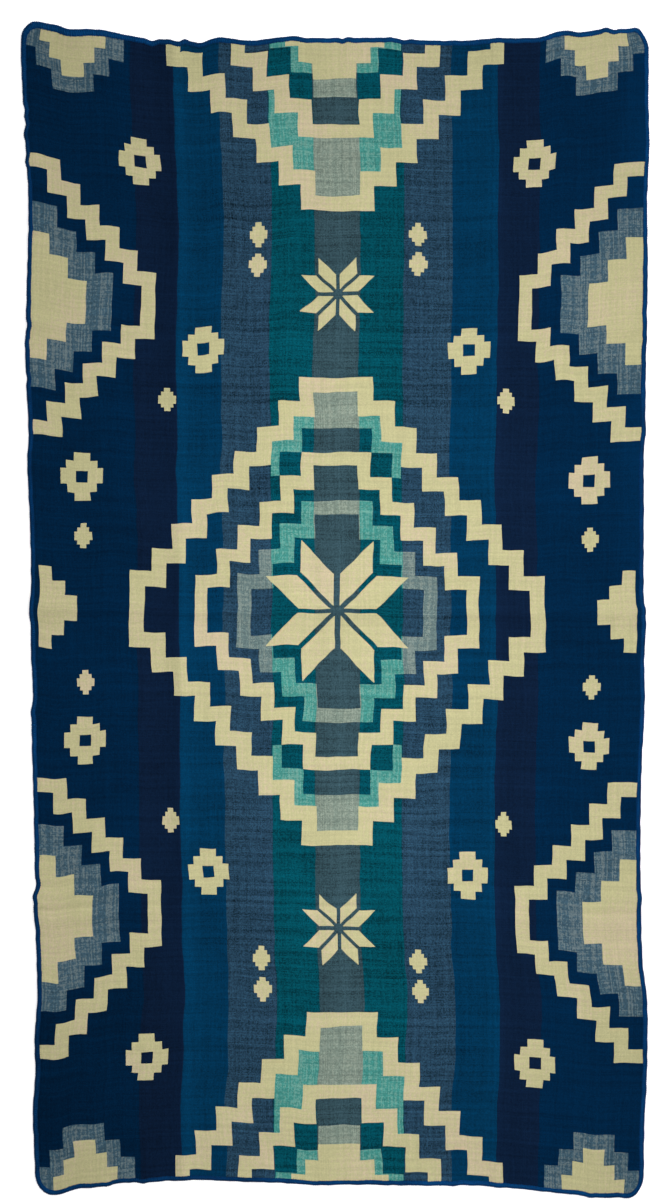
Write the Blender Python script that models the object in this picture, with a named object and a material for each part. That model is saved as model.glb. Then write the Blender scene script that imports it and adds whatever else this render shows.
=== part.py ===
"""Woven alpaca blanket, opened out and lying flat.

Two pieces: the figured cloth, with the soft creases of its folds, and the
yarn edging sewn over its raw edge. Metres, +Z up. The origin is under the
middle of the blanket's outline, at the level that it lies on. X runs across
the blanket, Y along it.
"""

import math

import bpy

# ---------------------------------------------------------------- dimensions
HALF_WIDTH = 0.500        # the blanket pulled square: half of its 1.00 m width
HALF_LENGTH = 0.935       # half of its 1.87 m length along the middle
CLOTH_THICKNESS = 0.0030  # double cloth, brushed
EDGING_OUT = 0.0026       # yarn edging outside the cloth's raw edge
EDGING_IN = 0.0055        # how far it reaches onto the cloth, above and below
EDGING_SHOULDER = 0.0014  # where its outer face starts to round off
EDGING_LAYER = 0.0011     # yarn layer above and below the cloth
GAP = 0.00034             # clearance between edging and cloth
EDGE_LIFT = EDGING_LAYER + GAP  # the lower yarn layer holds the cloth's edge up

# Insets of the grid lines that follow the border, from the raw edge inwards.
BORDER_INSETS = (0.0, 0.0070, 0.0155, 0.0320)
FLAT_BORDER = 0.0070      # the edge is level over this width, under the edging
LIFT_RUNOUT = 0.0320      # the cloth is down on the surface again from here

# ------------------------------------------------------------------- outline
# How far the finished edge stands from the middle, along each side.
LEFT_EDGE = (  # (station along Y, reach towards -X)
    (-0.925, 0.4875), (-0.800, 0.4915), (-0.745, 0.4875), (-0.683, 0.4885),
    (-0.623, 0.4840), (-0.528, 0.4865), (-0.433, 0.4880), (-0.306, 0.4905),
    (-0.190, 0.4935), (-0.131, 0.4915), (-0.077, 0.4945), (0.062, 0.4945),
    (0.150, 0.4970), (0.227, 0.5005), (0.278, 0.4985), (0.380, 0.5035),
    (0.487, 0.5020), (0.633, 0.4985), (0.775, 0.5060), (0.860, 0.5105),
    (0.925, 0.5113),
)
RIGHT_EDGE = (  # (station along Y, reach towards +X)
    (-0.925, 0.5035), (-0.815, 0.5045), (-0.740, 0.5085), (-0.625, 0.5090),
    (-0.560, 0.5015), (-0.480, 0.4990), (-0.365, 0.4980), (-0.245, 0.5000),
    (-0.145, 0.5050), (-0.040, 0.5030), (0.020, 0.5030), (0.175, 0.5035),
    (0.235, 0.5030), (0.320, 0.5060), (0.400, 0.5070), (0.540, 0.5100),
    (0.655, 0.5090), (0.745, 0.5125), (0.810, 0.5110), (0.880, 0.5115),
    (0.925, 0.5115),
)
TOP_EDGE = (  # (station along X, reach towards +Y)
    (-0.490, 0.9600), (-0.451, 0.9505), (-0.422, 0.9415), (-0.374, 0.9400),
    (-0.327, 0.9305), (-0.289, 0.9255), (-0.219, 0.9210), (-0.184, 0.9275),
    (-0.133, 0.9225), (-0.070, 0.9295), (-0.022, 0.9265), (0.086, 0.9270),
    (0.143, 0.9230), (0.204, 0.9225), (0.258, 0.9260), (0.324, 0.9275),
    (0.362, 0.9380), (0.391, 0.9360), (0.437, 0.9425), (0.490, 0.9469),
)
BOTTOM_EDGE = (  # (station along X, reach towards -Y)
    (-0.490, 0.9555), (-0.465, 0.9565), (-0.430, 0.9460), (-0.400, 0.9440),
    (-0.365, 0.9370), (-0.330, 0.9360), (-0.240, 0.9315), (-0.160, 0.9345),
    (-0.085, 0.9370), (-0.043, 0.9400), (0.020, 0.9390), (0.090, 0.9405),
    (0.160, 0.9410), (0.207, 0.9400), (0.300, 0.9465), (0.345, 0.9515),
    (0.385, 0.9550), (0.420, 0.9600), (0.458, 0.9605), (0.490, 0.9617),
)

# Short dents (+) and bumps (-) of the edge, which fade out into the cloth.
DENTS = (  # (side, station, depth, half width)
    ("top", -0.2505, 0.0016, 0.012),
    ("left", -0.0060, -0.0025, 0.040),
    ("left", -0.4820, -0.0030, 0.040),
    ("right", -0.0250, -0.0040, 0.060),
    ("left", 0.9250, 0.0033, 0.030), ("top", -0.4700, 0.0035, 0.030),
    ("right", 0.9250, 0.0076, 0.030), ("top", 0.4700, 0.0046, 0.030),
    ("right", -0.9250, 0.0048, 0.030),
)
DENT_FADE = 0.080         # a dent is gone this far in from the edge

CORNER_RADIUS = {         # rounded by the edging drawn tight round them
    ("left", "top"): 0.032, ("right", "top"): 0.023,
    ("left", "bottom"): 0.032, ("right", "bottom"): 0.026,
}

# ------------------------------------------------------------------- creases
# The blanket was folded in four both ways. A ridge stands up along its line;
# a trough lies on the surface along its line, with a low swell on each side.
CREASES = (  # (runs, position, form, lift, half width, unevenness, wave)
    ("along", -0.2555, "ridge", 0.0040, 0.030, 0.35, 0.90),
    ("along", 0.0053, "trough", 0.0025, 0.034, 0.30, 1.30),
    ("along", 0.2612, "ridge", 0.0032, 0.030, 0.40, 0.75),
    ("across", 0.4507, "ridge", 0.0036, 0.030, 0.35, 0.62),
    ("across", -0.0008, "ridge", 0.0050, 0.032, 0.25, 0.80),
    ("across", -0.4817, "trough", 0.0028, 0.034, 0.35, 0.55),
)

# Low waves where the edge has been drawn in, highest at the edge itself.
EDGE_WAVES = (  # (side, station, lift, half width, reach into the cloth)
    ("top", -0.385, 0.0032, 0.075, 0.110),
    ("top", 0.350, 0.0030, 0.070, 0.100),
    ("bottom", -0.330, 0.0026, 0.075, 0.100),
    ("bottom", 0.385, 0.0034, 0.070, 0.120),
    ("left", -0.640, 0.0030, 0.090, 0.100),
    ("left", 0.590, 0.0024, 0.100, 0.090),
    ("right", -0.590, 0.0034, 0.090, 0.110),
    ("right", 0.240, 0.0028, 0.090, 0.090),
)

GRID_SPACING_ACROSS = 0.052   # widest spacing of the grid lines between folds
GRID_SPACING_ALONG = 0.066


# ----------------------------------------------------------------- functions
def smooth(q):
    """Eases from 0 to 1 as q goes from 0 to 1."""
    q = min(max(q, 0.0), 1.0)
    return q * q * (3.0 - 2.0 * q)


def along_rows(rows, at):
    """Reads a two-column table at any station, on a smooth curve."""
    if at <= rows[0][0]:
        return rows[0][1]
    if at >= rows[-1][0]:
        return rows[-1][1]
    k = max(i for i in range(len(rows) - 1) if rows[i][0] <= at)
    (x0, y0), (x1, y1) = rows[k], rows[k + 1]
    step = x1 - x0

    def slope(i):
        if i <= 0 or i >= len(rows) - 1:
            return 0.0
        return (rows[i + 1][1] - rows[i - 1][1]) / (rows[i + 1][0] - rows[i - 1][0])

    q = (at - x0) / step
    q2, q3 = q * q, q * q * q
    return ((2 * q3 - 3 * q2 + 1) * y0 + (q3 - 2 * q2 + q) * step * slope(k)
            + (-2 * q3 + 3 * q2) * y1 + (q3 - q2) * step * slope(k + 1))


def corner_of(x, y):
    """The arc centre and radius of the corner square that holds a point."""
    side = "right" if x > 0 else "left"
    end = "top" if y > 0 else "bottom"
    radius = CORNER_RADIUS[(side, end)]
    cx = math.copysign(HALF_WIDTH - radius, x)
    cy = math.copysign(HALF_LENGTH - radius, y)
    inside = abs(x) > abs(cx) and abs(y) > abs(cy)
    return cx, cy, inside


def inward(x, y, distance):
    """Moves a border point straight in from its side, or to its arc's centre."""
    cx, cy, inside = corner_of(x, y)
    if inside:
        reach = max(abs(x - cx), abs(y - cy))
        share = (reach - distance) / reach
        return cx + (x - cx) * share, cy + (y - cy) * share
    if HALF_WIDTH - abs(x) < HALF_LENGTH - abs(y):
        return x - distance * math.copysign(1.0, x), y
    return x, y - distance * math.copysign(1.0, y)


def place(x, y):
    """A point of the squared-up blanket, to where it lies."""
    cx, cy, inside = corner_of(x, y)
    if inside:
        dx, dy = x - cx, y - cy
        share = max(abs(dx), abs(dy)) / math.hypot(dx, dy)
        x, y = cx + dx * share, cy + dy * share
    s = (x + HALF_WIDTH) / (2 * HALF_WIDTH)
    t = (y + HALF_LENGTH) / (2 * HALF_LENGTH)
    px = along_rows(RIGHT_EDGE, y) * s - along_rows(LEFT_EDGE, y) * (1 - s)
    py = along_rows(TOP_EDGE, x) * t - along_rows(BOTTOM_EDGE, x) * (1 - t)
    for side, station, depth, half in DENTS:
        at, depth_in = (y, HALF_WIDTH - abs(x)) if side in ("left", "right") \
            else (x, HALF_LENGTH - abs(y))
        here = {"left": x < 0, "right": x > 0, "top": y > 0, "bottom": y < 0}
        if not here[side]:
            continue
        push = (depth * smooth(1 - abs(at - station) / half)
                * smooth(1 - (depth_in - 0.010) / DENT_FADE))
        px += {"left": push, "right": -push}.get(side, 0.0)
        py += {"bottom": push, "top": -push}.get(side, 0.0)
    return px, py


def underside(x, y):
    """Height of the cloth's underside above the surface that it lies on."""
    lift = 0.0
    for runs, position, form, height, half, uneven, wave in CREASES:
        off, run = (x - position, y) if runs == "along" else (y - position, x)
        q = abs(off) / half
        if q >= 1:
            continue
        height *= 1 - uneven * math.sin(math.pi * (run - position) / wave) ** 2
        lift += height * (smooth(1 - q) if form == "ridge" else 4 * q * (1 - q))
    inset_x = HALF_WIDTH - EDGING_OUT - abs(x)
    inset_y = HALF_LENGTH - EDGING_OUT - abs(y)
    for side, station, height, half, reach in EDGE_WAVES:
        at, inset = (y, inset_x) if side in ("left", "right") else (x, inset_y)
        here = {"left": x < 0, "right": x > 0, "top": y > 0, "bottom": y < 0}
        if here[side]:
            lift += (height * smooth(1 - abs(at - station) / half)
                     * smooth(1 - (inset - FLAT_BORDER) / (reach - FLAT_BORDER)))
    inset = min(inset_x, inset_y)
    lift += EDGE_LIFT * smooth((LIFT_RUNOUT - inset) / (LIFT_RUNOUT - FLAT_BORDER))
    return lift


def grid_lines(half, runs, spacing):
    """Grid lines across one direction: along the border and round each crease."""
    raw = half - EDGING_OUT
    fixed = [-raw + inset for inset in BORDER_INSETS]
    for direction, position, form, height, width, uneven, wave in sorted(
            (c for c in CREASES if c[0] == runs), key=lambda c: c[1]):
        fixed += [position + width * f for f in (-1.0, -0.5, 0.0, 0.5, 1.0)]
    fixed += [raw - inset for inset in reversed(BORDER_INSETS)]
    lines = [fixed[0]]
    for a, b in zip(fixed, fixed[1:]):
        parts = max(1, math.ceil((b - a) / spacing - 1e-9))
        lines += [a + (b - a) * (i + 1) / parts for i in range(parts)]
    return lines


def make_object(name, points, triangles, material):
    """A closed mesh object, turned so that its faces point outwards."""
    volume = 0.0
    for a, b, c in triangles:
        (ax, ay, az), (bx, by, bz), (cx, cy, cz) = points[a], points[b], points[c]
        volume += (ax * (by * cz - bz * cy) - ay * (bx * cz - bz * cx)
                   + az * (bx * cy - by * cx))
    if volume < 0:
        triangles = [(a, c, b) for a, b, c in triangles]
    mesh = bpy.data.meshes.new(name)
    mesh.from_pydata(points, [], triangles)
    mesh.materials.append(material)
    mesh.validate()
    mesh.shade_smooth()
    mesh.set_sharp_from_angle(angle=math.radians(35))
    thing = bpy.data.objects.new(name, mesh)
    bpy.context.scene.collection.objects.link(thing)
    return thing


def make_material(name, colour, roughness):
    material = bpy.data.materials.new(name)
    material.use_nodes = True
    shader = material.node_tree.nodes["Principled BSDF"]
    shader.inputs["Base Color"].default_value = (*colour, 1.0)
    shader.inputs["Roughness"].default_value = roughness
    shader.inputs["Metallic"].default_value = 0.0
    return material


# --------------------------------------------------------------------- build
for old in list(bpy.data.objects):
    bpy.data.objects.remove(old, do_unlink=True)

xs = grid_lines(HALF_WIDTH, "along", GRID_SPACING_ACROSS)
ys = grid_lines(HALF_LENGTH, "across", GRID_SPACING_ALONG)
nx, ny = len(xs), len(ys)

# The loop of border grid points, once round, and the edging's section there.
loop = ([(i, 0) for i in range(nx - 1)] + [(nx - 1, j) for j in range(ny - 1)]
        + [(i, ny - 1) for i in range(nx - 1, 0, -1)]
        + [(0, j) for j in range(ny - 1, 0, -1)])
SECTION = (  # (out from the raw edge, up from the cloth's underside)
    (-EDGING_IN, -EDGE_LIFT),
    (EDGING_SHOULDER, -EDGE_LIFT),
    (EDGING_OUT, CLOTH_THICKNESS / 2),
    (EDGING_SHOULDER, CLOTH_THICKNESS + EDGE_LIFT),
    (-EDGING_IN, CLOTH_THICKNESS + EDGE_LIFT),
    (-EDGING_IN, CLOTH_THICKNESS + GAP),
    (GAP, CLOTH_THICKNESS + GAP),
    (GAP, -GAP),
    (-EDGING_IN, -GAP),
)

edging_points = []
for i, j in loop:
    base = underside(xs[i], ys[j])
    for out, up in SECTION:
        edging_points.append((*place(*inward(xs[i], ys[j], -out)), base + up))

# The outline's box is centred on the origin.
mid_x = (min(p[0] for p in edging_points) + max(p[0] for p in edging_points)) / 2
mid_y = (min(p[1] for p in edging_points) + max(p[1] for p in edging_points)) / 2
edging_points = [(x - mid_x, y - mid_y, z) for x, y, z in edging_points]

edging_triangles = []
stations, sides = len(loop), len(SECTION)
for k in range(stations):
    for m in range(sides):
        a = k * sides + m
        b = k * sides + (m + 1) % sides
        c = ((k + 1) % stations) * sides + (m + 1) % sides
        d = ((k + 1) % stations) * sides + m
        edging_triangles += [(a, b, c), (a, c, d)]

cloth_points = []
for level in (0.0, CLOTH_THICKNESS):
    for y in ys:
        for x in xs:
            px, py = place(x, y)
            cloth_points.append((px - mid_x, py - mid_y, underside(x, y) + level))

layer = nx * ny
cloth_triangles = []
for j in range(ny - 1):
    for i in range(nx - 1):
        a = j * nx + i
        b, c, d = a + 1, a + 1 + nx, a + nx
        if (i < nx // 2) == (j < ny // 2):
            pair = [(a, b, c), (a, c, d)]
        else:
            pair = [(a, b, d), (b, c, d)]
        for p, q, r in pair:
            cloth_triangles.append((p, r, q))
            cloth_triangles.append((p + layer, q + layer, r + layer))
for k in range(stations):
    (i0, j0), (i1, j1) = loop[k], loop[(k + 1) % stations]
    a, b = j0 * nx + i0, j1 * nx + i1
    cloth_triangles += [(a, b, b + layer), (a, b + layer, a + layer)]

wool = make_material("woven_wool", (0.012, 0.042, 0.095), 0.88)
yarn = make_material("edging_yarn", (0.004, 0.040, 0.165), 0.82)
make_object("woven_cloth", cloth_points, cloth_triangles, wool)
make_object("edge_binding", edging_points, edging_triangles, yarn)
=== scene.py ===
"""Looks of the alpaca blanket: figured double cloth, lying flat, with a yarn
edging sewn over its raw edge. Metres, +Z up, in the part's own frame."""
import math

import bpy
import numpy as np
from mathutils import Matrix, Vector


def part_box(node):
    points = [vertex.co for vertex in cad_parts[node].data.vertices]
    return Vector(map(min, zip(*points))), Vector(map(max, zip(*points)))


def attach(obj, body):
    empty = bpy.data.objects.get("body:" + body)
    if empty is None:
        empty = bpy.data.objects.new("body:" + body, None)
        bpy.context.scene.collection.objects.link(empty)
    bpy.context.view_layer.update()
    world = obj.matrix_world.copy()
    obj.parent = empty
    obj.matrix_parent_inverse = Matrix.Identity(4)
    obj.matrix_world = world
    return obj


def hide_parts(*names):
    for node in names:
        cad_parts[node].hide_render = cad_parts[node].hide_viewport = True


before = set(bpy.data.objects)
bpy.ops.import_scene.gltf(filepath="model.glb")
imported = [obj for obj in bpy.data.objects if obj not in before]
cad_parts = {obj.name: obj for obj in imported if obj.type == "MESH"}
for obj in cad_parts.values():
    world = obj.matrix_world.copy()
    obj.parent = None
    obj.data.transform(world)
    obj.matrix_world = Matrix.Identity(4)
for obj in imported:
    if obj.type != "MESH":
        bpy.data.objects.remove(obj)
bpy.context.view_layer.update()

# ---------------------------------------------------------------- dimensions
HALF_WIDTH = 0.500        # the blanket pulled square
HALF_LENGTH = 0.935
CLOTH_THICKNESS = 0.0030
EDGING_OUT = 0.0026
EDGING_LAYER = 0.0011
GAP = 0.00034
EDGE_LIFT = EDGING_LAYER + GAP
FLAT_BORDER = 0.0070
LIFT_RUNOUT = 0.0320
RAW_WIDTH = HALF_WIDTH - EDGING_OUT      # to the cloth's raw edge
RAW_LENGTH = HALF_LENGTH - EDGING_OUT

# ------------------------------------------------------------------- outline
LEFT_EDGE = (  # (station along Y, reach towards -X)
    (-0.925, 0.4875), (-0.800, 0.4915), (-0.745, 0.4875), (-0.683, 0.4885),
    (-0.623, 0.4840), (-0.528, 0.4865), (-0.433, 0.4880), (-0.306, 0.4905),
    (-0.190, 0.4935), (-0.131, 0.4915), (-0.077, 0.4945), (0.062, 0.4945),
    (0.150, 0.4970), (0.227, 0.5005), (0.278, 0.4985), (0.380, 0.5035),
    (0.487, 0.5020), (0.633, 0.4985), (0.775, 0.5060), (0.860, 0.5105),
    (0.925, 0.5113),
)
RIGHT_EDGE = (  # (station along Y, reach towards +X)
    (-0.925, 0.5035), (-0.815, 0.5045), (-0.740, 0.5085), (-0.625, 0.5090),
    (-0.560, 0.5015), (-0.480, 0.4990), (-0.365, 0.4980), (-0.245, 0.5000),
    (-0.145, 0.5050), (-0.040, 0.5030), (0.020, 0.5030), (0.175, 0.5035),
    (0.235, 0.5030), (0.320, 0.5060), (0.400, 0.5070), (0.540, 0.5100),
    (0.655, 0.5090), (0.745, 0.5125), (0.810, 0.5110), (0.880, 0.5115),
    (0.925, 0.5115),
)
TOP_EDGE = (  # (station along X, reach towards +Y)
    (-0.490, 0.9600), (-0.451, 0.9505), (-0.422, 0.9415), (-0.374, 0.9400),
    (-0.327, 0.9305), (-0.289, 0.9255), (-0.219, 0.9210), (-0.184, 0.9275),
    (-0.133, 0.9225), (-0.070, 0.9295), (-0.022, 0.9265), (0.086, 0.9270),
    (0.143, 0.9230), (0.204, 0.9225), (0.258, 0.9260), (0.324, 0.9275),
    (0.362, 0.9380), (0.391, 0.9360), (0.437, 0.9425), (0.490, 0.9469),
)
BOTTOM_EDGE = (  # (station along X, reach towards -Y)
    (-0.490, 0.9555), (-0.465, 0.9565), (-0.430, 0.9460), (-0.400, 0.9440),
    (-0.365, 0.9370), (-0.330, 0.9360), (-0.240, 0.9315), (-0.160, 0.9345),
    (-0.085, 0.9370), (-0.043, 0.9400), (0.020, 0.9390), (0.090, 0.9405),
    (0.160, 0.9410), (0.207, 0.9400), (0.300, 0.9465), (0.345, 0.9515),
    (0.385, 0.9550), (0.420, 0.9600), (0.458, 0.9605), (0.490, 0.9617),
)
DENTS = (  # (side, station, depth, half width)
    ("top", -0.2505, 0.0016, 0.012),
    ("left", -0.0060, -0.0025, 0.040),
    ("left", -0.4820, -0.0030, 0.040),
    ("right", -0.0250, -0.0040, 0.060),
    ("left", 0.9250, 0.0033, 0.030), ("top", -0.4700, 0.0035, 0.030),
    ("right", 0.9250, 0.0076, 0.030), ("top", 0.4700, 0.0046, 0.030),
    ("right", -0.9250, 0.0048, 0.030),
)
DENT_FADE = 0.080
CORNER_RADIUS = {
    ("left", "top"): 0.032, ("right", "top"): 0.023,
    ("left", "bottom"): 0.032, ("right", "bottom"): 0.026,
}
CREASES = (  # (runs, position, form, lift, half width, unevenness, wave)
    ("along", -0.2555, "ridge", 0.0040, 0.030, 0.35, 0.90),
    ("along", 0.0053, "trough", 0.0025, 0.034, 0.30, 1.30),
    ("along", 0.2612, "ridge", 0.0032, 0.030, 0.40, 0.75),
    ("across", 0.4507, "ridge", 0.0036, 0.030, 0.35, 0.62),
    ("across", -0.0008, "ridge", 0.0050, 0.032, 0.25, 0.80),
    ("across", -0.4817, "trough", 0.0028, 0.034, 0.35, 0.55),
)
EDGE_WAVES = (  # (side, station, lift, half width, reach into the cloth)
    ("top", -0.385, 0.0032, 0.075, 0.110),
    ("top", 0.350, 0.0030, 0.070, 0.100),
    ("bottom", -0.330, 0.0026, 0.075, 0.100),
    ("bottom", 0.385, 0.0034, 0.070, 0.120),
    ("left", -0.640, 0.0030, 0.090, 0.100),
    ("left", 0.590, 0.0024, 0.100, 0.090),
    ("right", -0.590, 0.0034, 0.090, 0.110),
    ("right", 0.240, 0.0028, 0.090, 0.090),
)

# ------------------------------------- finer unevenness, on top of the above
FOLD_LINE = (  # (runs, position, crest height, crest half width, sway, wave)
    ("along", -0.2555, 0.0021, 0.0095, 0.0016, 0.31),
    ("along", 0.0053, 0.0010, 0.0080, 0.0010, 0.43),
    ("along", 0.2612, 0.0019, 0.0095, 0.0017, 0.36),
    ("across", 0.4507, 0.0019, 0.0090, 0.0015, 0.27),
    ("across", -0.0008, 0.0024, 0.0090, 0.0013, 0.34),
    ("across", -0.4817, 0.0012, 0.0080, 0.0016, 0.29),
)
SWELLS = (  # (waves across the width, waves along the length, height, phase)
    (1.7, 2.9, 0.00042, 0.7), (3.1, -4.3, 0.00030, 2.1),
    (5.3, 6.7, 0.00020, 4.0), (-4.1, 9.7, 0.00018, 1.3),
    (8.3, -3.7, 0.00014, 5.2), (7.1, 13.3, 0.00010, 3.3),
)
TUCKS = (  # (runs, position, cloth taken up by the fold, reach)
    ("along", -0.2555, 0.0016, 0.009), ("along", 0.0053, 0.0010, 0.009),
    ("along", 0.2612, 0.0016, 0.009), ("across", 0.4507, 0.0026, 0.010),
    ("across", -0.0008, 0.0046, 0.010), ("across", -0.4817, 0.0026, 0.010),
)
FOLD_SHADE_LINES = (  # (runs, position, share lighter, half width); painted fold shade and highlight, lighter and darker bands along the folds
    ("along", -0.2495, 0.25, 0.0110), ("along", 0.0053, 0.20, 0.0105),
    ("along", 0.2590, 0.22, 0.0110), ("across", 0.4600, -0.15, 0.0075),
    ("across", 0.4470, 0.17, 0.0095), ("across", 0.0040, 0.05, 0.0095),
    ("across", -0.0120, -0.07, 0.0080), ("across", -0.4735, 0.09, 0.0090),
)
PUCKERS = (  # (period along the edge, height, phase); the edging draws it up
    (0.0310, 0.00034, 0.4), (0.0473, 0.00030, 2.2), (0.0196, 0.00018, 4.4),
)
PUCKER_REACH = 0.040      # they die out this far in from the edge
RIPPLES = (  # (period along the edge, sideways, phase); the outline's waver
    (0.0580, 0.00018, 1.1), (0.0370, 0.00020, 3.0), (0.0232, 0.00018, 5.1),
)
NICKS = (  # (side, station, inwards, half width); single drawn-in stitches
    ("top", -0.2910, 0.0040, 0.014), ("top", -0.2640, -0.0012, 0.010),
    ("top", -0.2380, -0.0036, 0.010), ("top", -0.2120, 0.0032, 0.018),
    ("top", -0.0450, 0.0017, 0.014), ("top", 0.0120, 0.0017, 0.007),
    ("top", 0.0220, -0.0013, 0.009), ("top", 0.0880, -0.0015, 0.010),
    ("top", 0.1110, 0.0022, 0.012), ("top", 0.4310, -0.0021, 0.010),
    ("top", 0.4470, 0.0034, 0.012), ("left", 0.7890, 0.0016, 0.012),
    ("left", 0.7660, 0.0025, 0.012), ("left", 0.7470, -0.0020, 0.012),
    ("left", 0.7060, -0.0023, 0.014), ("left", 0.4460, 0.0024, 0.012),
    ("left", 0.4160, -0.0017, 0.012), ("left", 0.3600, 0.0021, 0.012),
    ("left", -0.1680, -0.0021, 0.014), ("left", -0.4400, 0.0014, 0.012),
    ("left", -0.4610, -0.0025, 0.012), ("right", 0.4330, -0.0014, 0.010),
    ("right", 0.2900, -0.0023, 0.020), ("right", 0.0030, -0.0015, 0.012),
    ("right", -0.4540, -0.0022, 0.016), ("bottom", -0.3800, -0.0020, 0.012),
    ("bottom", -0.3370, 0.0013, 0.010), ("bottom", -0.3220, -0.0015, 0.010),
    ("bottom", 0.1850, -0.0018, 0.014), ("bottom", 0.4110, -0.0017, 0.010),
)

# --------------------------------------------------------------------- mesh
COARSE = 0.0073           # spacing of the cloth's points
FINE = 0.0029             # and near the fold lines
FINE_REACH = 0.0145

# ------------------------------------------------------------------- edging
STITCH_PITCH = 0.0030
YARN_RADIUS = 0.00112     # across the stitch; it is pressed flat to FLATNESS
FLATNESS = 0.62
STITCH_SIDES = 5
STITCH_PATH = (  # (out from the raw edge, up from the underside, along/pitch)
    (-0.0061, 0.0027, 0.62),
    (-0.0052, 0.0037, 0.52),
    (-0.0028, 0.0042, 0.28),
    (-0.0004, 0.0040, 0.06),
    (0.0012, 0.0031, -0.08),
    (0.0018, 0.0015, -0.16),
    (0.0010, 0.0000, -0.24),
    (-0.0012, -0.00062, -0.34),
    (-0.0050, -0.00058, -0.50),
    (-0.0061, 0.0003, -0.56),
)
ROLL_SECTION = (  # (out from the raw edge, up from the underside)
    (-0.0056, -0.0009), (-0.0030, -0.0012), (-0.0005, -0.0011),
    (0.0010, -0.0004), (0.0016, 0.0008), (0.0017, 0.0018), (0.0011, 0.0031),
    (-0.0004, 0.0038), (-0.0028, 0.0040), (-0.0050, 0.0036),
    (-0.0058, 0.0028), (-0.0058, 0.0002),
)
ROLL_STEP = 0.0050
EDGING_SHARE = {"top": 0.14, "bottom": -0.04}    # of its reach, more or less
WIDENED = (  # (x, y, radius, extra share); less is a narrower stretch
    (-0.430, 0.935, 0.160, 0.62), (-0.500, 0.700, 0.260, -0.22),
    (0.500, 0.760, 0.280, -0.20), (-0.500, 0.100, 0.300, -0.14),
    (0.500, -0.250, 0.300, -0.10), (-0.500, -0.760, 0.150, 0.08),
    (0.120, 0.935, 0.200, -0.10), (0.180, -0.935, 0.160, 0.12),
)
YARN_TONE = (  # (x, y, radius, share lighter); wear and light on the edging
    (0.520, 0.935, 1.000, 0.62), (0.300, -0.935, 0.620, 0.55),
    (0.520, -0.200, 0.600, 0.40), (-0.400, 0.935, 0.200, 0.55),
    (-0.050, 0.935, 0.250, 0.30), (-0.500, -0.200, 0.340, 0.42),
    (-0.500, 0.550, 0.550, 0.16), (-0.440, -0.935, 0.200, 0.26),
)

# --------------------------------------------------------------- the weaving
CELL = 0.0016             # one step of the figured weave, both ways
STRIPES = (  # (to this many steps out, warp colour, half-tone, contrast)
    (22, (53, 78, 87), (134, 151, 139), 0.62),
    (66, (2, 75, 89), (74, 156, 147), 0.72),
    (116, (39, 68, 90), (110, 132, 132), 0.86),
    (162, (1, 53, 86), (91, 124, 138), 0.46),
    (204, (12, 31, 58), (80, 98, 118), 0.40),
    (330, (0, 37, 69), (70, 100, 117), 0.36),
)
CREAM = (204, 199, 151)
CREAM_ROSY = (210, 195, 162)
PALE_WEFT = (168, 168, 150)
ROYAL = (0, 46, 91)
# the lighter blue of the painted highlight along the edging's crest
ROYAL_LIGHT = (7, 62, 110)


# ----------------------------------------------------------------- functions
def linear(rgb):
    """An 0-255 display colour as linear light."""
    return tuple(c / 255 / 12.92 if c / 255 <= 0.04045
                 else ((c / 255 + 0.055) / 1.055) ** 2.4 for c in rgb)


def smooth(q):
    q = np.clip(q, 0.0, 1.0)
    return q * q * (3.0 - 2.0 * q)


def along_rows(rows, at):
    """Reads a two-column table at any stations, on a smooth curve."""
    s = np.array([r[0] for r in rows])
    v = np.array([r[1] for r in rows])
    slope = np.zeros(len(rows))
    slope[1:-1] = (v[2:] - v[:-2]) / (s[2:] - s[:-2])
    at = np.clip(at, s[0], s[-1])
    k = np.clip(np.searchsorted(s, at, "right") - 1, 0, len(rows) - 2)
    step = s[k + 1] - s[k]
    q = (at - s[k]) / step
    q2, q3 = q * q, q * q * q
    return ((2 * q3 - 3 * q2 + 1) * v[k] + (q3 - 2 * q2 + q) * step * slope[k]
            + (-2 * q3 + 3 * q2) * v[k + 1] + (q3 - q2) * step * slope[k + 1])


def corner_of(x, y):
    """The arc centres of the corner squares, and which points they hold."""
    r = CORNER_RADIUS
    radius = np.where(
        x > 0,
        np.where(y > 0, r[("right", "top")], r[("right", "bottom")]),
        np.where(y > 0, r[("left", "top")], r[("left", "bottom")]))
    cx = np.copysign(HALF_WIDTH - radius, x)
    cy = np.copysign(HALF_LENGTH - radius, y)
    inside = (np.abs(x) > np.abs(cx)) & (np.abs(y) > np.abs(cy))
    return cx, cy, inside


def inward(x, y, distance):
    """Moves border points straight in, or towards their arc's centre."""
    cx, cy, inside = corner_of(x, y)
    reach = np.maximum(np.maximum(np.abs(x - cx), np.abs(y - cy)), 1e-9)
    share = (reach - distance) / reach
    side = HALF_WIDTH - np.abs(x) < HALF_LENGTH - np.abs(y)
    nx = np.where(side, x - distance * np.copysign(1.0, x), x)
    ny = np.where(side, y, y - distance * np.copysign(1.0, y))
    return (np.where(inside, cx + (x - cx) * share, nx),
            np.where(inside, cy + (y - cy) * share, ny))


def rounded(x, y):
    """The squared-up blanket's points, with its corners drawn round."""
    cx, cy, inside = corner_of(x, y)
    dx, dy = x - cx, y - cy
    share = np.where(inside, np.maximum(np.abs(dx), np.abs(dy))
                     / np.maximum(np.hypot(dx, dy), 1e-9), 1.0)
    return (np.where(inside, cx + dx * share, x),
            np.where(inside, cy + dy * share, y))


def waves(rows, at):
    return sum(h * np.sin(2 * np.pi * at / period + phase)
               for period, h, phase in rows)


def on_side(side, x, y):
    return {"left": x < 0, "right": x > 0, "top": y > 0, "bottom": y < 0}[side]


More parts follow.
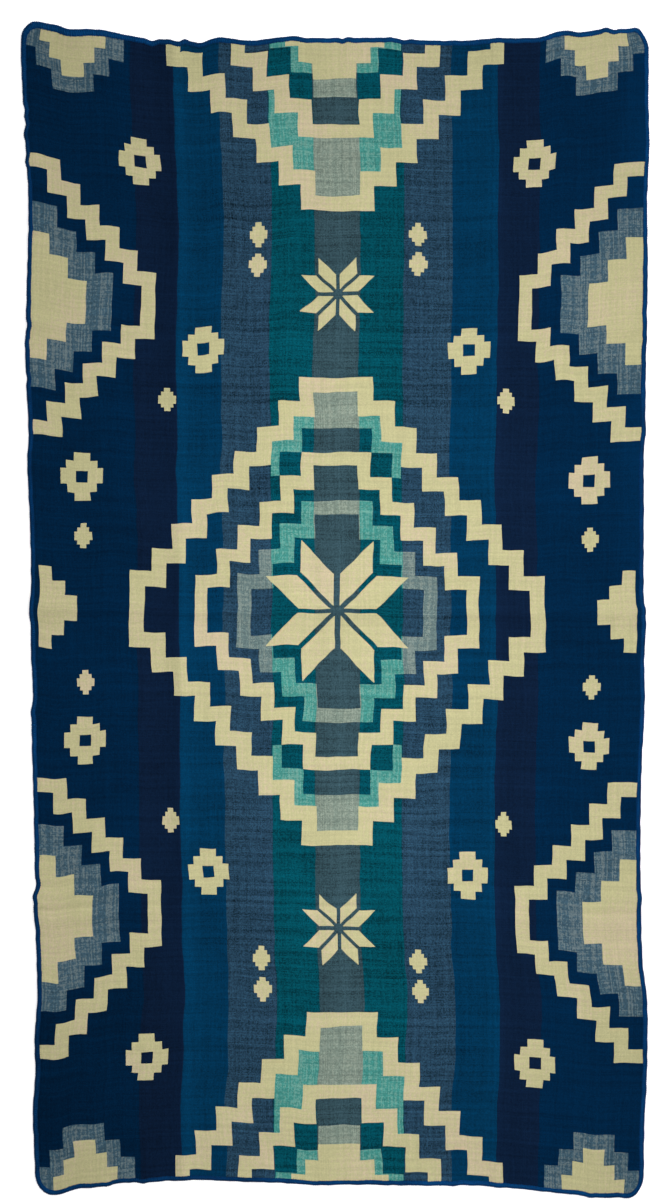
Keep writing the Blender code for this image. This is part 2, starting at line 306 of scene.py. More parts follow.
def place(x, y):
    """Points of the squared-up blanket, to where they lie."""
    x, y = rounded(x, y)
    s = (x + HALF_WIDTH) / (2 * HALF_WIDTH)
    t = (y + HALF_LENGTH) / (2 * HALF_LENGTH)
    px = along_rows(RIGHT_EDGE, y) * s - along_rows(LEFT_EDGE, y) * (1 - s)
    py = along_rows(TOP_EDGE, x) * t - along_rows(BOTTOM_EDGE, x) * (1 - t)
    pushes = [(*row, DENT_FADE) for row in DENTS] + [(*row, 0.020) for row in NICKS]
    for side, station, depth, half, fade in pushes:
        upright = side in ("left", "right")
        at, depth_in = ((y, HALF_WIDTH - np.abs(x)) if upright
                        else (x, HALF_LENGTH - np.abs(y)))
        push = (depth * smooth(1 - np.abs(at - station) / half)
                * smooth(1 - (depth_in - 0.010) / fade) * on_side(side, x, y))
        if upright:
            px = px + (push if side == "left" else -push)
        else:
            py = py + (push if side == "bottom" else -push)
    # the outline's waver, gone 25 mm in
    px = px + (waves(RIPPLES, y + np.copysign(0.31, x))
               * smooth(1 - (HALF_WIDTH - np.abs(x)) / 0.025))
    py = py + (waves(RIPPLES, x + np.copysign(0.17, y))
               * smooth(1 - (HALF_LENGTH - np.abs(y)) / 0.025))
    return px, py


def underside(x, y):
    """Height of the cloth's underside above the surface it lies on."""
    lift = np.zeros_like(x)
    for runs, position, form, height, half, uneven, wave in CREASES:
        off, run = (x - position, y) if runs == "along" else (y - position, x)
        q = np.clip(np.abs(off) / half, 0, 1)
        height = height * (1 - uneven * np.sin(np.pi * (run - position) / wave) ** 2)
        lift = lift + height * (smooth(1 - q) if form == "ridge"
                                else 4 * q * (1 - q))
    inset_x = np.maximum(RAW_WIDTH - np.abs(x), FLAT_BORDER)
    inset_y = np.maximum(RAW_LENGTH - np.abs(y), FLAT_BORDER)
    for side, station, height, half, reach in EDGE_WAVES:
        at, inset = ((y, inset_x) if side in ("left", "right") else (x, inset_y))
        lift = lift + (height * smooth(1 - np.abs(at - station) / half)
                       * smooth(1 - (inset - FLAT_BORDER) / (reach - FLAT_BORDER))
                       * on_side(side, x, y))
    inset = np.minimum(inset_x, inset_y)
    lift = lift + EDGE_LIFT * smooth((LIFT_RUNOUT - inset)
                                     / (LIFT_RUNOUT - FLAT_BORDER))
    # finer unevenness
    for runs, position, height, half, sway, wave in FOLD_LINE:
        off, run = (x - position, y) if runs == "along" else (y - position, x)
        off = off + sway * np.sin(2 * np.pi * run / wave + 40 * position)
        crest = np.exp(-np.abs(off / half) ** 1.5)
        varied = 0.72 + 0.28 * np.sin(2 * np.pi * run / (wave * 0.63) + 1.0)
        lift = lift + height * varied * crest
    swell = sum(h * np.sin(2 * np.pi * (a * x + b * y / 1.87) + phase)
                for a, b, h, phase in SWELLS)
    lift = lift + 0.0010 + swell
    for at, inset, shift in ((y, inset_x, np.copysign(0.2, x)),
                             (x, inset_y, np.copysign(0.5, y))):
        fade = smooth(1 - (inset - FLAT_BORDER) / PUCKER_REACH)
        lift = lift + fade * (0.0005 + waves(PUCKERS, at + shift))
    return np.maximum(lift, 0.0)


def graded(raw, runs):
    """Grid lines, close together near the fold lines and at the border."""
    folds = sorted(row[1] for row in CREASES if row[0] == runs)
    marks = [(-raw, None)]
    lines = [-raw, -raw + 0.0035, -raw + 0.0070]
    for fold in folds:
        start, end = lines[-1], fold - FINE_REACH
        n = max(1, round((end - start) / COARSE))
        lines += [start + (end - start) * (i + 1) / n for i in range(n)]
        n = round(2 * FINE_REACH / FINE)
        lines += [end + 2 * FINE_REACH * (i + 1) / n for i in range(n)]
    start, end = lines[-1], raw - 0.0070
    n = max(1, round((end - start) / COARSE))
    lines += [start + (end - start) * (i + 1) / n for i in range(n)]
    return np.array(lines + [raw - 0.0035, raw])


def mesh_object(name, points, faces, material, smooth_faces=True):
    """points (n, 3), faces (m, 3 or 4)."""
    mesh = bpy.data.meshes.new(name)
    size = faces.shape[1]
    mesh.vertices.add(len(points))
    mesh.vertices.foreach_set("co", points.astype(np.float32).ravel())
    mesh.loops.add(faces.size)
    mesh.loops.foreach_set("vertex_index", faces.astype(np.int32).ravel())
    mesh.polygons.add(len(faces))
    mesh.polygons.foreach_set("loop_start",
                              np.arange(0, faces.size, size, dtype=np.int32))
    mesh.update(calc_edges=True)
    mesh.polygons.foreach_set("use_smooth",
                              np.full(len(faces), smooth_faces, dtype=bool))
    mesh.materials.append(material)
    thing = bpy.data.objects.new(name, mesh)
    bpy.context.scene.collection.objects.link(thing)
    return thing


def give(thing, name, values):
    """A vector attribute at each point, for the material."""
    held = thing.data.attributes.new(name, "FLOAT_VECTOR", "POINT")
    held.data.foreach_set("vector", values.astype(np.float32).ravel())


def spots(rows, x, y):
    """What the rows' round spots add at each point."""
    return sum(extra * smooth(1 - np.hypot(x - cx, y - cy) / reach)
               for cx, cy, reach, extra in rows)


# -------------------------------------------------- the border, once round
class Border:
    """The raw edge, measured along where it lies."""

    def __init__(self):
        w, l = RAW_WIDTH, RAW_LENGTH
        corners = np.array([(-w, -l), (w, -l), (w, l), (-w, l), (-w, -l)])
        legs = np.linalg.norm(np.diff(corners, axis=0), axis=1)
        self.at = np.concatenate([[0], np.cumsum(legs)])
        self.corners = corners
        t = np.linspace(0, self.at[-1], 6001)
        px, py = place(*self.nominal(t))
        run = np.concatenate(
            [[0], np.cumsum(np.hypot(np.diff(px), np.diff(py)))])
        self.t, self.run, self.length = t, run, run[-1]

    def nominal(self, t):
        t = np.mod(t, self.at[-1])
        return (np.interp(t, self.at, self.corners[:, 0]),
                np.interp(t, self.at, self.corners[:, 1]))

    def point(self, s):
        """The squared-up blanket's border point at s metres round."""
        return self.nominal(np.interp(np.mod(s, self.length), self.run, self.t))

    def space(self, s, out, up):
        """Where a point lies: s round, out from the raw edge, up from the
        cloth's underside."""
        x, y = self.point(s)
        away = smooth((HALF_WIDTH - np.abs(x)) / 0.08)
        more = np.where(y > 0, EDGING_SHARE["top"], EDGING_SHARE["bottom"]) * away
        share = (1 + more + spots(WIDENED, x, y)
                 + 0.05 * np.sin(2 * np.pi * s / 0.173)
                 + 0.04 * np.sin(2 * np.pi * s / 0.067 + 1.0))
        out = np.where(out < 0, out * share, out)
        px, py = place(*inward(x, y, -out))
        return np.stack([px - mid_x, py - mid_y, underside(x, y) + up], axis=-1)


mid_x = mid_y = 0.0
border = Border()
# The outline's box is centred on the origin, as the edging solid's is.
low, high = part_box("edge_binding")
rim_x, rim_y = inward(*border.point(np.linspace(0, border.length, 4001)),
                      -EDGING_OUT)
rim_x, rim_y = place(rim_x, rim_y)
mid_x = (rim_x.min() + rim_x.max()) / 2 - (low[0] + high[0]) / 2
mid_y = (rim_y.min() + rim_y.max()) / 2 - (low[1] + high[1]) / 2


# ------------------------------------------------------------ shader helpers
class Sum:
    """Arithmetic on shader sockets, written as plain arithmetic."""

    def __init__(self, tree, socket):
        self.tree, self.socket = tree, socket

    def _math(self, kind, *values):
        node = self.tree.nodes.new("ShaderNodeMath")
        node.operation = kind
        node.hide = True
        for i, value in enumerate(values):
            if isinstance(value, Sum):
                self.tree.links.new(value.socket, node.inputs[i])
            else:
                node.inputs[i].default_value = value
        return Sum(self.tree, node.outputs[0])

    def __add__(self, other): return self._math("ADD", self, other)
    def __sub__(self, other): return self._math("SUBTRACT", self, other)
    def __rsub__(self, other): return self._math("SUBTRACT", other, self)
    def __mul__(self, other): return self._math("MULTIPLY", self, other)
    def __truediv__(self, other): return self._math("DIVIDE", self, other)
    __radd__, __rmul__ = __add__, __mul__

    def less(self, other): return self._math("LESS_THAN", self, other)
    def most(self, other): return self._math("MAXIMUM", self, other)
    def least(self, other): return self._math("MINIMUM", self, other)
    def floor(self): return self._math("FLOOR", self)
    def size(self): return self._math("ABSOLUTE", self)
    def cosine(self): return self._math("COSINE", self)
    def plus_times(self, a, b): return self._math("MULTIPLY_ADD", a, b, self)


class Pair:
    """Arithmetic on vector sockets: places on the cloth."""

    def __init__(self, tree, socket):
        self.tree, self.socket = tree, socket

    def _math(self, kind, *values):
        node = self.tree.nodes.new("ShaderNodeVectorMath")
        node.operation = kind
        node.hide = True
        for i, value in enumerate(values):
            if isinstance(value, Pair):
                self.tree.links.new(value.socket, node.inputs[i])
            else:
                node.inputs[i].default_value = (*value, 0.0)[:3]
        out = node.outputs["Value" if kind == "DOT_PRODUCT" else "Vector"]
        return (Sum if kind == "DOT_PRODUCT" else Pair)(self.tree, out)

    def __add__(self, other): return self._math("ADD", self, other)
    def __sub__(self, other): return self._math("SUBTRACT", self, other)
    def __mul__(self, other): return self._math("MULTIPLY", self, other)

    def over(self, other): return self._math("DIVIDE", self, (*other, 1.0))
    def most(self, other): return self._math("MAXIMUM", self, other)
    def floor(self): return self._math("FLOOR", self)
    def size(self): return self._math("ABSOLUTE", self)
    def total(self): return self._math("DOT_PRODUCT", self, (1.0, 1.0))

    def parts(self):
        node = self.tree.nodes.new("ShaderNodeSeparateXYZ")
        node.hide = True
        self.tree.links.new(self.socket, node.inputs[0])
        return [Sum(self.tree, node.outputs[i]) for i in range(3)]


# ---------------------------------------------------------------- the figures
# A plain stepped layout: one medallion in the middle, a half one at each end,
# stepped pyramids at the sides, with stars, stepped crosses and lozenges. All
# sizes here are in steps of the weave, so every edge falls between two steps.
STEP = (22, 25)
SIDE_STEP = (19, 21)
CROSSES = ((134, 269), (259, 134), (199, 459))        # (across, along)
LOZENGES = ((172, 216), (259, 75), (81, 358), (81, 389))


def stair(p, step, n, grow=0):
    """Inside a stepped lozenge of n steps about the origin."""
    q = p - (grow, grow) if grow else p
    return q.most((0.0, 0.0)).over(step).floor().total().less(n - 0.5)


def ring(p, step, n, grow, inner=0):
    return stair(p, step, n, grow) * (1.0 - stair(p, step, n, inner))


def block(p, a, b):
    u, v, _ = p.parts()
    return u.less(a) * v.less(b)


def star(p, arm, gap, cut):
    """An eight-pointed star of eight lozenges."""
    u, v, _ = p.parts()
    near, apart = u.least(v), (u - v).size()
    return (near.less(arm) * apart.less(arm)
            * (1.0 - near.less(gap)) * (1.0 - apart.less(cut)))


def stepped_cross(p):
    return block(p, 21, 8).most(block(p, 8, 24)).most(block(p, 15, 16))


def figures(p):
    """0 warp-faced ground, 1 half-tone, 2 weft-faced cream."""
    u, v, _ = p.parts()
    end = (p - (0, 601)).size()
    side = (p - (312, 312)).size()
    flank = (p - (305, 0)).size()
    heel = (p - (262, 584)).size()
    inner = u.less(66)
    state = u.less(-1.0)

    def paint(state, level, mask):
        return state.plus_times(mask, level - state)

    state = paint(state, 1.0, stair(p, STEP, 9, 3)
                  * (1.0 - stair(p, STEP, 7, 13)) * inner)
    state = paint(state, 2.0, ring(p, STEP, 9, 15))
    state = paint(state, 2.0, ring(p, STEP, 6, 13))
    state = paint(state, 1.0, ring(p, STEP, 4, 14))
    state = paint(state, 2.0, star(p, 37, 3, 4))
    state = paint(state, 1.0, stair(end, STEP, 7)
                  * (1.0 - stair(end, STEP, 4, 16)) * inner)
    state = paint(state, 2.0, ring(end, STEP, 7, 15))
    state = paint(state, 2.0, ring(end, STEP, 4, 16, 2))
    state = paint(state, 1.0, stair(end, STEP, 3))
    state = paint(state, 2.0, stair(end, (14, 16), 3, 8))
    state = paint(state, 2.0, ring(side, SIDE_STEP, 6, 14))
    state = paint(state, 1.0, stair(side, SIDE_STEP, 4, 9))
    state = paint(state, 2.0, stair(side, SIDE_STEP, 3, 1))
    state = paint(state, 2.0, stair(flank, (13, 14), 3) * u.less(305))
    state = paint(state, 1.0, stair(heel, (15, 18), 3, 6))
    state = paint(state, 2.0, stair(heel, (11, 15), 3))
    state = paint(state, 2.0, star((p - (0, 326)).size(), 19, 2, 3))
    for place_of in CROSSES:
        q = (p - place_of).size()
        state = paint(state, 2.0, stepped_cross(q))
        state = paint(state, 0.0, block(q, 6, 6))
    for place_of in LOZENGES:
        state = paint(state, 2.0, stair((p - place_of).size(), (3, 4), 3))
    return state


# ----------------------------------------------------------------- materials
def new_material(name):
    material = bpy.data.materials.new(name)
    material.use_nodes = True
    tree = material.node_tree
    return material, tree, tree.nodes["Principled BSDF"]


def attribute(tree, name):
    node = tree.nodes.new("ShaderNodeAttribute")
    node.attribute_type = "GEOMETRY"
    node.attribute_name = name
    return node.outputs["Vector"]


def noise(tree, vector, scale, detail=2.0, rough=0.5, colour=False):
    node = tree.nodes.new("ShaderNodeTexNoise")
    node.noise_dimensions = "2D"
    node.inputs["Scale"].default_value = scale
    node.inputs["Detail"].default_value = detail
    node.inputs["Roughness"].default_value = rough
    tree.links.new(vector.socket, node.inputs["Vector"])
    if colour:
        return Pair(tree, node.outputs["Color"])
    return Sum(tree, node.outputs["Fac"])


def chance(tree, value):
    """A value from 0 to 1, at random, for each whole number or cell."""
    node = tree.nodes.new("ShaderNodeTexWhiteNoise")
    if isinstance(value, Pair):
        node.noise_dimensions = "2D"
        tree.links.new(value.socket, node.inputs["Vector"])
    else:
        node.noise_dimensions = "1D"
        tree.links.new(value.socket, node.inputs["W"])
    return Sum(tree, node.outputs["Value"])


def steps(tree, fac, rows, limit):
    """Constant colours by distance; rows of (up to, colour or grey)."""
    node = tree.nodes.new("ShaderNodeValToRGB")
    ramp = node.color_ramp
    ramp.interpolation = "CONSTANT"
    start = 0.0
    for k, (to, colour) in enumerate(rows):
        stop = ramp.elements[0] if k == 0 else ramp.elements.new(start / limit)
        stop.color = (*colour, 1.0)
        start = to
    while len(ramp.elements) > len(rows):
        ramp.elements.remove(ramp.elements[-1])
    tree.links.new((fac / limit).socket, node.inputs["Fac"])
    return node.outputs["Color"]


def mix(tree, fac, a, b, kind="MIX"):
    node = tree.nodes.new("ShaderNodeMix")
    node.data_type = "RGBA"
    node.blend_type = kind
    for socket, value in ((node.inputs[0], fac), (node.inputs[6], a),
                          (node.inputs[7], b)):
        if isinstance(value, Sum):
            tree.links.new(value.socket, socket)
        elif isinstance(value, bpy.types.NodeSocket):
            tree.links.new(value, socket)
        else:
            socket.default_value = value
    return node.outputs[2]


def scaled(tree, colour, amount):
    """A colour made lighter or darker by a factor."""
    node = tree.nodes.new("ShaderNodeVectorMath")
    node.operation = "SCALE"
    tree.links.new(colour, node.inputs[0])
    tree.links.new(amount.socket, node.inputs["Scale"])
    return node.outputs[0]


def woven_material():
    material, tree, shader = new_material("woven_alpaca")
    flat = Pair(tree, attribute(tree, "flat"))
    level = flat.parts()[2]
    # painted fold shade and highlight, and painted glare and light gradients, for the ground
    # colour
    painted_light_and_wear, painted_glare_and_gradients, _ = Pair(tree, attribute(tree, "painted_light_and_wear")).parts()
    # the threads waver a little
    sway = noise(tree, flat, 7.0, 1.0, colour=True) - (0.5, 0.5)
    flutter = noise(tree, flat, 23.0, 1.0, colour=True) - (0.5, 0.5)
    at = flat + sway * (0.0052, 0.0060) + flutter * (0.0044, 0.0048)
    in_cells = at.over((CELL, CELL))
    cell = in_cells.floor()
    p = (cell + (0.5, 0.5)).size()
    state = figures(p)
    # the other face of a double cloth has the figures the other way round
    under = level.less(0.5)
    state = state.plus_times(under, 2.0 - state * 2.0)

    across, along, _ = cell.parts()
    speck = chance(tree, cell)                    # each crossing
    thread = chance(tree, across)                 # each warp thread
    pick = chance(tree, along + 731.0)            # each weft
    drift = noise(tree, at * (260.0, 9.0), 1.0, 2.0)   # streaks up the warp
    shade = noise(tree, at * (7.0, 170.0), 1.0, 2.0)   # bands of weft
    cloud = noise(tree, at, 6.5, 3.0)             # handling, pile lie
    mottle = noise(tree, at, 210.0, 2.0)          # uneven yarn

    stripe = p.parts()[0]
    warp = steps(tree, stripe, [(r[0], linear(r[1])) for r in STRIPES], 330)
    half = steps(tree, stripe, [(r[0], linear(r[2])) for r in STRIPES], 330)
    contrast = steps(tree, stripe, [(r[0], (r[3],) * 3) for r in STRIPES], 330)
    contrast = Sum(tree, contrast)

    mixed = ((speck - 0.5) * 1.0 + (thread - 0.5) * 0.28 + (pick - 0.5) * 0.50
             + (drift - 0.5) * 0.65 + (shade - 0.5) * 1.1)
    # the warp-faced ground takes the painted fold shade and highlight and the painted glare
    ground = scaled(tree, warp, 1.0 + mixed * contrast + (cloud - 0.5) * 0.40
                    + painted_light_and_wear + painted_glare_and_gradients)
    heather = ((speck - 0.5) * 1.0 + (thread - 0.5) * 0.40 + (pick - 0.5) * 0.40
               + (drift - 0.5) * 0.55 + (shade - 0.5) * 0.9 + (mottle - 0.5) * 0.9)
    # some warp ends lie deeper, and more of the pale weft shows there
    pale = ((thread - 0.40) * 0.45 + (drift - 0.5) * 0.7 + (speck - 0.5) * 0.3
            + (pick - 0.5) * 0.3 + (mottle - 0.5) * 0.9)
    half = mix(tree, pale.most(0.0).least(0.24), half, (*linear(PALE_WEFT), 1.0))
    heather = scaled(tree, half, 0.98 + heather * 0.40 + (cloud - 0.5) * 0.12)
    light = ((speck - 0.5) * 0.13 + (pick - 0.5) * 0.07 + (thread - 0.5) * 0.04
             + (drift - 0.5) * 0.14 + (shade - 0.5) * 0.13 + (cloud - 0.5) * 0.12)
    rosy = ((cloud - 0.45) * 3.0 + (mottle - 0.5) * 2.2
            + (drift - 0.5)).most(0.0).least(1.0)
    cream = mix(tree, rosy, (*linear(CREAM), 1.0), (*linear(CREAM_ROSY), 1.0))
    cream = scaled(tree, cream, 1.0 + light)

    colour = mix(tree, 1.0 - state.less(0.5), ground, heather)
    colour = mix(tree, 1.0 - state.less(1.5), colour, cream)
    tree.links.new(colour, shader.inputs["Base Color"])

    rough = 0.86 + (speck - 0.5) * 0.10 + (cloud - 0.5) * 0.08
    tree.links.new(rough.socket, shader.inputs["Roughness"])
    shader.inputs["Specular IOR Level"].default_value = 0.03
    shader.inputs["Sheen Weight"].default_value = 0.06
    shader.inputs["Sheen Roughness"].default_value = 0.45
    shader.inputs["Sheen Tint"].default_value = (0.35, 0.60, 0.90, 1.0)

    # weave and nap
    turn = flat * (2 * math.pi / CELL, 2 * math.pi / CELL)
    tx, ty, _ = turn.parts()
    nap = noise(tree, flat, 950.0, 2.0, 0.6)
    pile = noise(tree, flat * (1.0, 0.35), 260.0, 2.0, 0.6)
    height = (tx.cosine() * 0.30 + ty.cosine() * 0.22
              + (nap - 0.5) * 1.5 + (pile - 0.5) * 1.6)
    bump = tree.nodes.new("ShaderNodeBump")
    bump.inputs["Strength"].default_value = 0.55
    bump.inputs["Distance"].default_value = 0.00028
    tree.links.new(height.socket, bump.inputs["Height"])
    tree.links.new(bump.outputs["Normal"], shader.inputs["Normal"])
    return material


def yarn_material(name, twist):
    """Royal blue wool yarn; twist is its turns for each stitch, or 0."""
    material, tree, shader = new_material(name)
    flat = Pair(tree, attribute(tree, "flat"))
    lay = Pair(tree, attribute(tree, "lay"))      # along, round, crest of the painted highlight
    along, round_it, crest = lay.parts()
    # painted light and wear: the edging lighter in round spots
    tone = Pair(tree, attribute(tree, "painted_light_and_wear")).parts()[0]
    fuzz = noise(tree, flat, 420.0, 3.0, 0.6)
    cloud = noise(tree, flat, 24.0, 2.0)
    dark = tree.nodes.new("ShaderNodeRGB")
    dark.outputs[0].default_value = (*linear(ROYAL), 1.0)
    pale = tree.nodes.new("ShaderNodeRGB")
    pale.outputs[0].default_value = (*linear(ROYAL_LIGHT), 1.0)
    # painted highlight: lighter blue along the crest of the edging
    colour = mix(tree, crest * 0.85, dark.outputs[0], pale.outputs[0])
    ply = ((along * twist + round_it) * (2 * math.pi)).cosine()
    vary = 1.0 + (fuzz - 0.5) * 0.9 + (cloud - 0.5) * 0.75 + ply * 0.12
    colour = scaled(tree, colour, vary * (1.0 + tone))
    # a fleck of lint caught in the left edge
    apart = (flat - (-0.4965, -0.0445)).size()
    fleck = block(apart, 0.0011, 0.0008)
    colour = mix(tree, fleck * 0.75, colour, (0.62, 0.60, 0.50, 1.0))
    tree.links.new(colour, shader.inputs["Base Color"])
    rough = 0.80 + (fuzz - 0.5) * 0.2
    tree.links.new(rough.socket, shader.inputs["Roughness"])
    shader.inputs["Specular IOR Level"].default_value = 0.05
    shader.inputs["Sheen Weight"].default_value = 0.08
    shader.inputs["Sheen Roughness"].default_value = 0.4
    shader.inputs["Sheen Tint"].default_value = (0.30, 0.60, 0.95, 1.0)
    height = ply * 0.6 + (fuzz - 0.5) * 1.4
    bump = tree.nodes.new("ShaderNodeBump")
    bump.inputs["Strength"].default_value = 0.6
    bump.inputs["Distance"].default_value = 0.00022
    tree.links.new(height.socket, bump.inputs["Height"])
    tree.links.new(bump.outputs["Normal"], shader.inputs["Normal"])
    return material


# --------------------------------------------------------------- woven cloth
xs = graded(RAW_WIDTH, "along")
ys = graded(RAW_LENGTH, "across")
nx, ny = len(xs), len(ys)
X, Y = (a.ravel() for a in np.meshgrid(xs, ys))
px, py = place(X, Y)
under = underside(X, Y)
lower = np.stack([px - mid_x, py - mid_y, under], axis=1)
upper = lower + (0.0, 0.0, CLOTH_THICKNESS)
grid = np.arange(nx * ny).reshape(ny, nx)
a, b, c, d = (g.ravel() for g in (grid[:-1, :-1], grid[:-1, 1:],
                                  grid[1:, 1:], grid[1:, :-1]))
layer = nx * ny
top_faces = np.stack([a, b, c, d], axis=1) + layer
low_faces = np.stack([a, d, c, b], axis=1)
rim = np.concatenate([grid[0, :-1], grid[:-1, -1], grid[-1, :0:-1], grid[:0:-1, 0]])
then = np.roll(rim, -1)
wall = np.stack([rim, then, then + layer, rim + layer], axis=1)
cloth = mesh_object("blanket_cloth", np.concatenate([lower, upper]),
                    np.concatenate([top_faces, low_faces, wall]),
                    woven_material())
rx, ry = rounded(X, Y)
painted_light_and_wear = np.zeros(layer)
for runs, position, tuck, reach in TUCKS:
    off = (X if runs == "along" else Y) - position
    shift = tuck * (smooth(off / (2 * reach) + 0.5) - 0.5)
    if runs == "along":
        rx = rx + shift
    else:
        ry = ry + shift
# painted fold shade and highlight, as bands along the fold lines
for runs, position, share, half in FOLD_SHADE_LINES:
    off, run = (X - position, Y) if runs == "along" else (Y - position, X)
    painted_light_and_wear = painted_light_and_wear + (share * np.exp(-(off / half) ** 2)
                   * (0.80 + 0.20 * np.sin(2 * np.pi * run / 0.23 + 9 * position)))
# painted glare, lighter towards the right edge, most of all in the upper half;
# a painted light gradient, lighter to the right; darker at the lower left and a little lighter at
# the lower right
painted_glare_and_gradients = (0.04 * X / HALF_WIDTH
          + 0.38 * np.exp(-((RAW_WIDTH - X) / 0.040) ** 2) * smooth((Y + 0.35) / 0.70)
          + smooth((-Y - 0.52) / 0.16) * (0.09 * smooth((X - 0.26) / 0.10)
                                          - 0.18 * smooth((-X - 0.26) / 0.10)))
give(cloth, "painted_light_and_wear", np.stack([np.tile(painted_light_and_wear, 2), np.tile(painted_glare_and_gradients, 2),
                              np.zeros(2 * layer)], axis=1))
give(cloth, "flat", np.concatenate([
    np.stack([rx, ry, np.zeros(layer)], axis=1),
    np.stack([rx, ry, np.ones(layer)], axis=1)]))

# ------------------------------------------------------- the edging's padding
def yarn_tone(points):
    tone = spots(YARN_TONE, points[:, 0], points[:, 1])
    return np.stack([tone, 0 * tone, 0 * tone], axis=1)


count = round(border.length / ROLL_STEP)
s = (np.arange(count) * border.length / count)[:, None]
section = np.array(ROLL_SECTION)
out, up = section[None, :, 0], section[None, :, 1]
roll_points = border.space(s + 0 * out, out + 0 * s, up + 0 * s)
m = len(section)
ids = np.arange(count * m).reshape(count, m)
nxt = np.roll(ids, -1, axis=0)
roll_faces = np.stack([ids, np.roll(ids, -1, axis=1), np.roll(nxt, -1, axis=1), nxt],
                      axis=-1).reshape(-1, 4)[:, ::-1]
roll = mesh_object("edge_padding", roll_points.reshape(-1, 3), roll_faces,
                   yarn_material("edging_under_yarn", 0.0))
# painted highlight along the top of the roll
crest = np.exp(-((section[:, 0] + 0.0026) / 0.0016) ** 2) * (section[:, 1] > 0.0015)
give(roll, "flat", roll_points.reshape(-1, 3))
give(roll, "painted_light_and_wear", yarn_tone(roll_points.reshape(-1, 3)))
give(roll, "lay", np.stack([
    np.broadcast_to(s / STITCH_PITCH, (count, m)),
    np.broadcast_to(np.arange(m)[None, :] / m, (count, m)),
    np.broadcast_to(crest[None, :], (count, m))], axis=-1).reshape(-1, 3))

# ------------------------------------------------------- the edging's stitches
count = round(border.length / STITCH_PITCH)
chances = np.random.default_rng(11)
start = (np.arange(count) + chances.uniform(-0.12, 0.12, count)) * border.length / count
path = np.array(STITCH_PATH)
slack = chances.uniform(-1.0, 1.0, (count, 3))
s = start[:, None] + (path[None, :, 2] + 0.10 * slack[:, :1]) * STITCH_PITCH
out = path[None, :, 0] * (1 + 0.06 * slack[:, 1:2])
up = path[None, :, 1] + 0.00010 * slack[:, 2:3] * (path[None, :, 1] > 0.002)
spine = border.space(s, out, up)
tangent = np.gradient(spine, axis=1)
tangent /= np.linalg.norm(tangent, axis=2, keepdims=True)
# which way is out of the roll, at each point of the path
heart = border.space(s, np.full_like(out, -0.0022), np.full_like(out, 0.0015))
away = spine - heart
away -= (away * tangent).sum(2, keepdims=True) * tangent
away /= np.linalg.norm(away, axis=2, keepdims=True)
beside = np.cross(tangent, away)
angle = np.arange(STITCH_SIDES) * 2 * np.pi / STITCH_SIDES
J = len(path)
thick = np.ones(J)
thick[0] = thick[-1] = 0.55
thick = thick[None, :, None, None]
tube = (spine[:, :, None, :]
        + YARN_RADIUS * FLATNESS * thick * np.cos(angle)[None, None, :, None] * away[:, :, None, :]
        + YARN_RADIUS * thick * np.sin(angle)[None, None, :, None] * beside[:, :, None, :])
tube[..., 2] = np.maximum(tube[..., 2], 0.0)
ids = np.arange(count * J * STITCH_SIDES).reshape(count, J, STITCH_SIDES)
turned = np.roll(ids, -1, axis=2)
quads = np.stack([ids[:, :-1], turned[:, :-1], turned[:, 1:], ids[:, 1:]],
                 axis=-1).reshape(-1, 4)
tris = np.concatenate([quads[:, [0, 1, 2]], quads[:, [0, 2, 3]]])
fan = np.array([(0, k + 1, k) for k in range(1, STITCH_SIDES - 1)])
caps = [ids[:, 0][:, f] for f in fan] + [ids[:, -1][:, f[::-1]] for f in fan]
stitches = mesh_object("edge_stitches", tube.reshape(-1, 3),
                       np.concatenate([tris] + caps),
                       yarn_material("edging_yarn_stitched", 3.0))
shape = ids.shape
# painted highlight along the top of each stitch
lit = np.exp(-((path[:, 0] + 0.0024) / 0.0017) ** 2) * (path[:, 1] > 0.0015)
give(stitches, "flat", tube.reshape(-1, 3))
give(stitches, "painted_light_and_wear", yarn_tone(tube.reshape(-1, 3)))
give(stitches, "lay", np.stack([
    np.broadcast_to((np.arange(J) / J)[None, :, None] + start[:, None, None] * 97, shape),
    np.broadcast_to((angle / (2 * np.pi))[None, None, :], shape),
    np.broadcast_to(lit[None, :, None], shape)], axis=-1).reshape(-1, 3))

# ------------------------------------------------------------------ the frame
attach(cloth, "root")
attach(roll, "root")
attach(stitches, "root")
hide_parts("woven_cloth")
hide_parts("edge_binding")

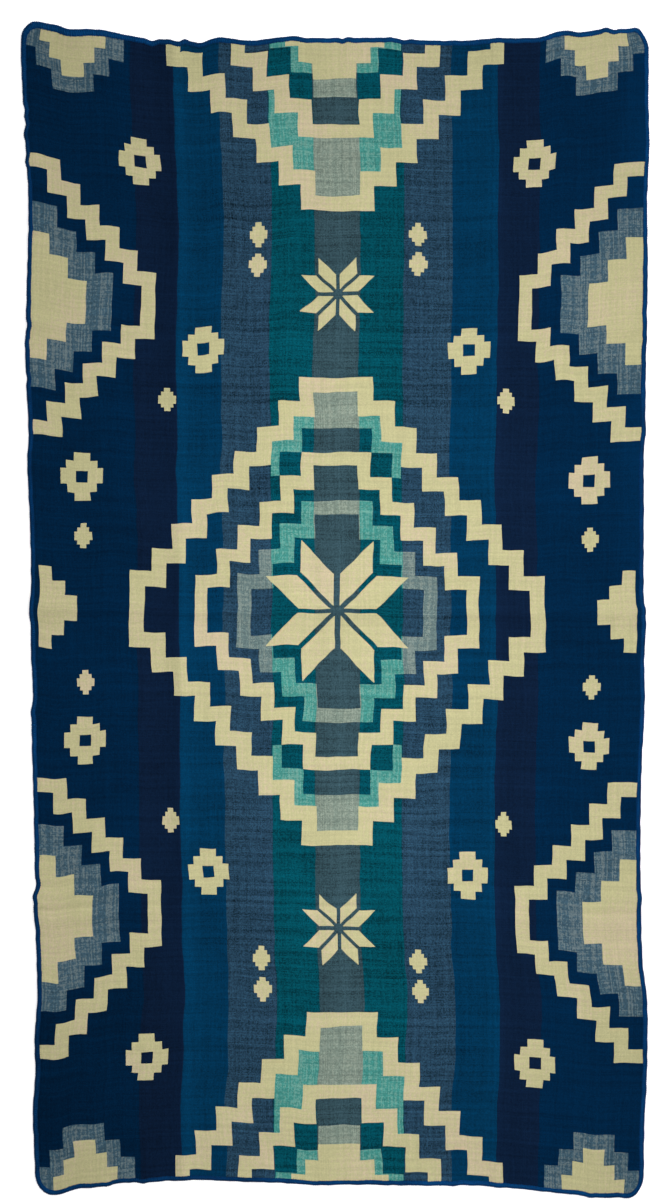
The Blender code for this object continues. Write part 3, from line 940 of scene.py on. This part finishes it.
# ------------------------------------------------------- floor, light, camera
material, tree, shader = new_material("pale_floor")
here = Pair(tree, tree.nodes.new("ShaderNodeNewGeometry").outputs["Position"])
grain = noise(tree, here, 3.0, 3.0)
tone = tree.nodes.new("ShaderNodeRGB")
tone.outputs[0].default_value = (0.90, 0.90, 0.90, 1.0)
tree.links.new(scaled(tree, tone.outputs[0], 1.0 + (grain - 0.5) * 0.02),
               shader.inputs["Base Color"])
shader.inputs["Roughness"].default_value = 0.9
shader.inputs["Emission Color"].default_value = (1.0, 1.0, 1.0, 1.0)
shader.inputs["Emission Strength"].default_value = 0.85
size = 30.0
floor = mesh_object("floor", np.array([(-size, -size, 0), (size, -size, 0),
                                       (size, size, 0), (-size, size, 0)], float),
                    np.array([(0, 1, 2, 3)]), material, False)

world = bpy.data.worlds.new("studio")
world.use_nodes = True
world.node_tree.nodes["Background"].inputs["Color"].default_value = (1, 1, 1, 1)
world.node_tree.nodes["Background"].inputs["Strength"].default_value = 0.072
bpy.context.scene.world = world

LAMPS = (  # (name, place, aimed at, size across, size along, watts)
    ("key", (2.60, 2.60, 5.00), (0.0, 0.0, 0.0), 0.80, 0.80, 170.0),
    ("strip", (0.00, -0.15, 0.90), (0.182, -0.15, 0.0), 0.25, 2.00, 8.56),
)
for name, spot, aim, across, along, power in LAMPS:
    lamp = bpy.data.lights.new(name, "AREA")
    lamp.shape = "RECTANGLE"
    lamp.size, lamp.size_y = across, along
    lamp.energy = power
    thing = bpy.data.objects.new(name, lamp)
    bpy.context.scene.collection.objects.link(thing)
    thing.location = spot
    x, y, z = (a - b for a, b in zip(aim, spot))
    if name == "strip":
        thing.rotation_euler = (0.0, math.atan2(-x, -z), 0.0)
    else:
        thing.rotation_euler = (math.atan2(math.hypot(x, y), -z), 0.0,
                                math.atan2(y, x) - math.pi / 2)
    thing.visible_camera = False

lens = bpy.data.cameras.new("camera")
lens.lens = 100.0
lens.sensor_width = 36.0
lens.sensor_fit = "AUTO"
lens.clip_start, lens.clip_end = 0.1, 100.0
camera = bpy.data.objects.new("camera", lens)
bpy.context.scene.collection.objects.link(camera)
camera.location = (-0.0157, 0.0158, 0.005 + 1.951 * 100.0 / 36.0)
camera.rotation_euler = (0.0, 0.0, 0.0)
bpy.context.scene.camera = camera
bpy.context.scene.view_settings.view_transform = "Standard"
bpy.context.scene.view_settings.look = "None"
bpy.context.scene.view_settings.exposure = 0.0
bpy.context.scene.view_settings.gamma = 1.0

bpy.context.view_layer.update()
